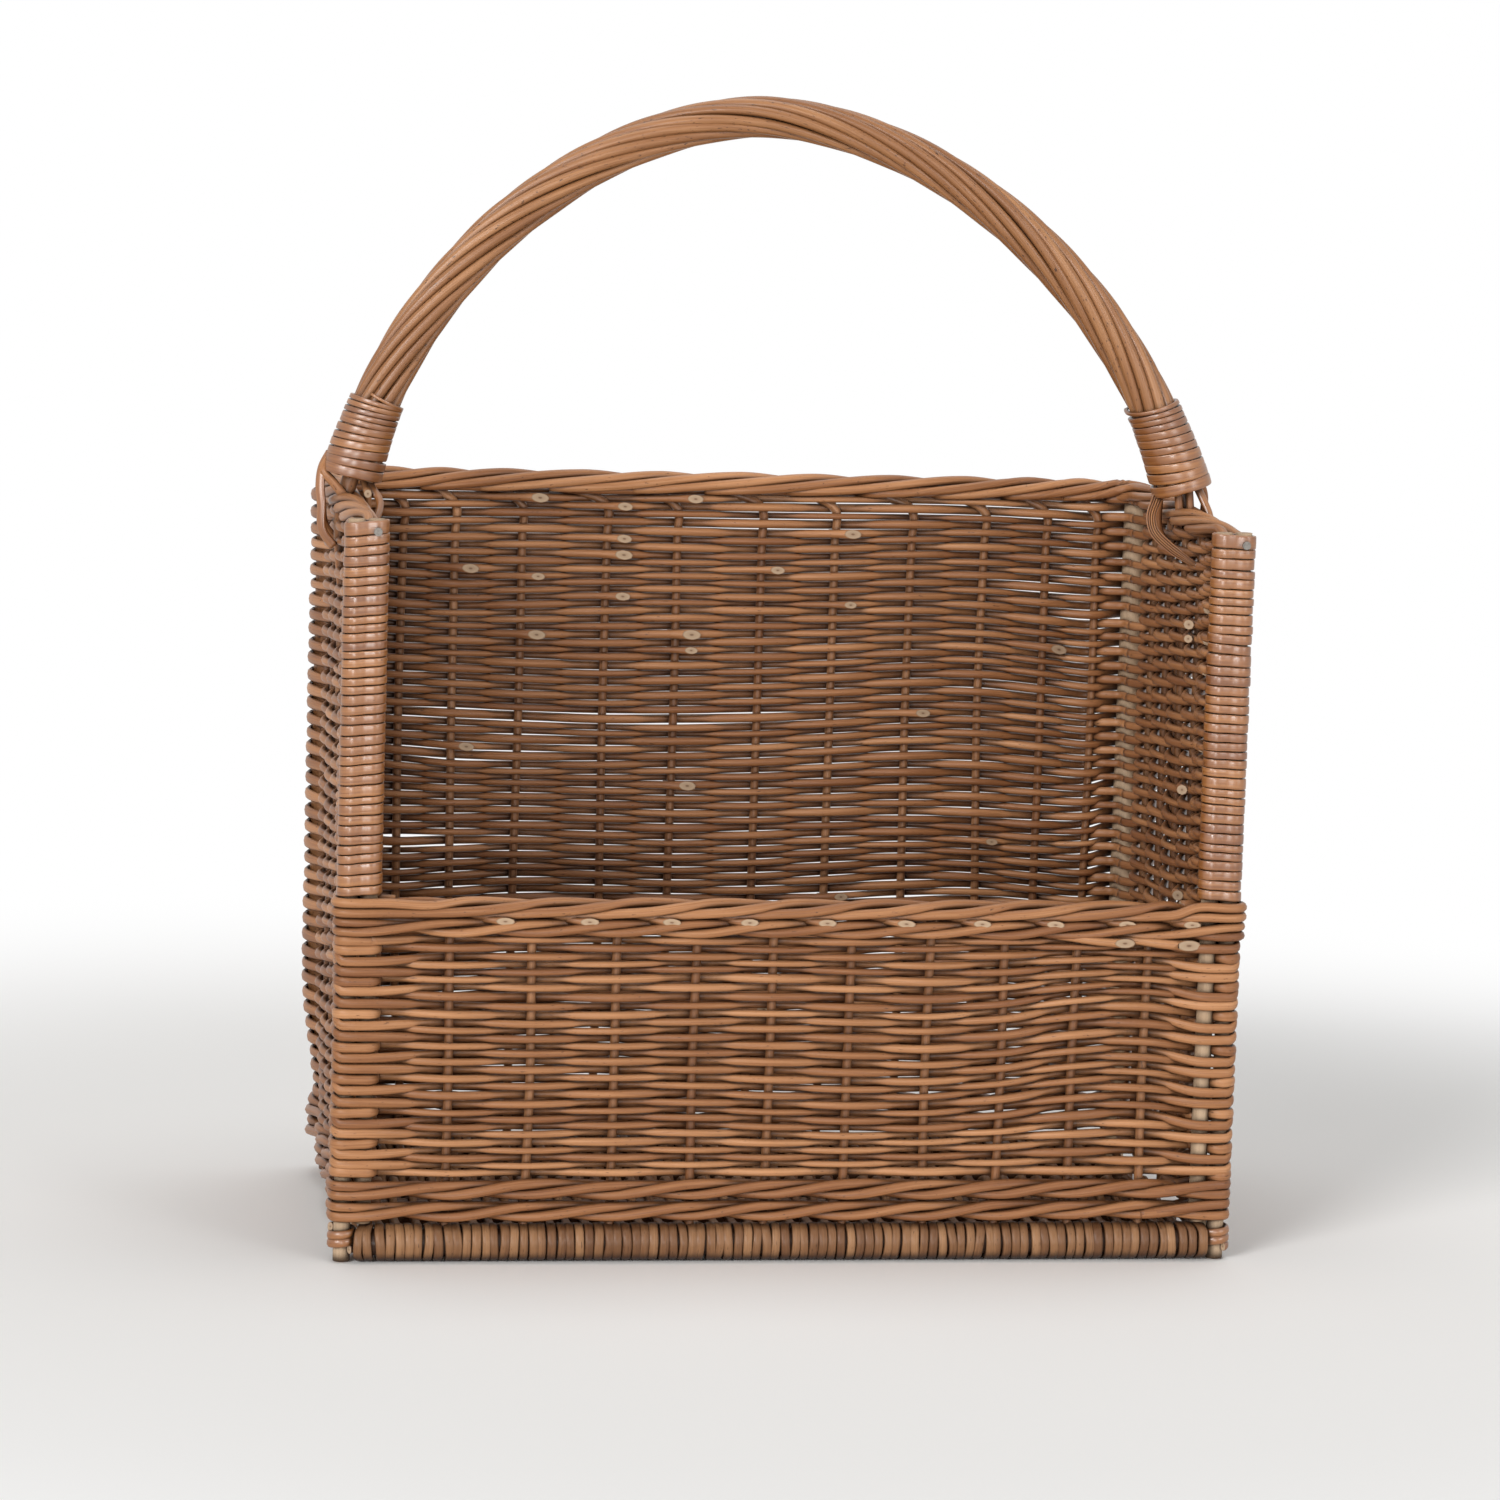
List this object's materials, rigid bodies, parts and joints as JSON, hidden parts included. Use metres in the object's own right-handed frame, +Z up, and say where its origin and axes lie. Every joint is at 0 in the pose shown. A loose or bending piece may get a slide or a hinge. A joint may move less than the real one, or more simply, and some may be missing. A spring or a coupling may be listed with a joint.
{
  "type": "wicker bread basket",
  "caption": "Open-topped woven willow basket with a low front, high back and sides, wrapped corner posts and a fixed twisted hoop handle.",
  "frame": {"origin": "on the ground under the middle of the base", "axes": "+Z up, +X to the right seen from the low front, +Y to the high back"},
  "size_m": [0.4838, 0.2518, 0.5999],
  "materials": {
    "woven_willow": "round willow rods, plain woven, low satin sheen",
    "willow_border": "round willow rods rolled into a border, pale cut ends",
    "willow_skein": "flat split willow wound tight, satin",
    "handle_rods": "round willow rods twisted together, satin",
    "peeled_willow": "pale peeled sticks, dry matt grain",
    "nail_steel": "dull wire nail"
  },
  "bodies": {
    "root": {"back_bottom_wale": "woven_willow", "back_post_left": "peeled_willow", "back_post_right": "peeled_willow", "back_stakes_and_border": "willow_border", "back_weave": "woven_willow", "base_back_stick": "peeled_willow", "base_front_stick": "peeled_willow", "base_inner_stick_1": "peeled_willow", "base_inner_stick_2": "peeled_willow", "base_inner_stick_3": "peeled_willow", "base_inner_stick_4": "peeled_willow", "base_inner_stick_5": "peeled_willow", "base_weave": "woven_willow", "front_bottom_wale": "woven_willow", "front_post_left_inner": "peeled_willow", "front_post_left_outer": "peeled_willow", "front_post_right_inner": "peeled_willow", "front_post_right_outer": "peeled_willow", "front_post_turns_left": "willow_skein", "front_post_turns_right": "willow_skein", "front_stakes_and_border": "willow_border", "front_top_wale": "woven_willow", "front_weave": "woven_willow", "handle_binding_left": "willow_skein", "handle_binding_right": "willow_skein", "handle_bow": "peeled_willow", "handle_leg_rod_left_1": "handle_rods", "handle_leg_rod_left_2": "handle_rods", "handle_leg_rod_left_3": "handle_rods", "handle_leg_rod_left_4": "handle_rods", "handle_leg_rod_right_1": "handle_rods", "handle_leg_rod_right_2": "handle_rods", "handle_leg_rod_right_3": "handle_rods", "handle_leg_rod_right_4": "handle_rods", "handle_twisted_rods": "handle_rods", "inner_lashing_left": "willow_skein", "inner_lashing_right": "willow_skein", "left_bottom_wale": "woven_willow", "left_stakes_and_border": "willow_border", "left_weave": "woven_willow", "outer_lashing_left": "willow_skein", "outer_lashing_right": "willow_skein", "post_foot_binding_left": "willow_skein", "post_foot_binding_right": "willow_skein", "post_nail_left": "nail_steel", "post_nail_right": "nail_steel", "right_bottom_wale": "woven_willow", "right_stakes_and_border": "willow_border", "right_weave": "woven_willow"}
  },
  "joints": []
}
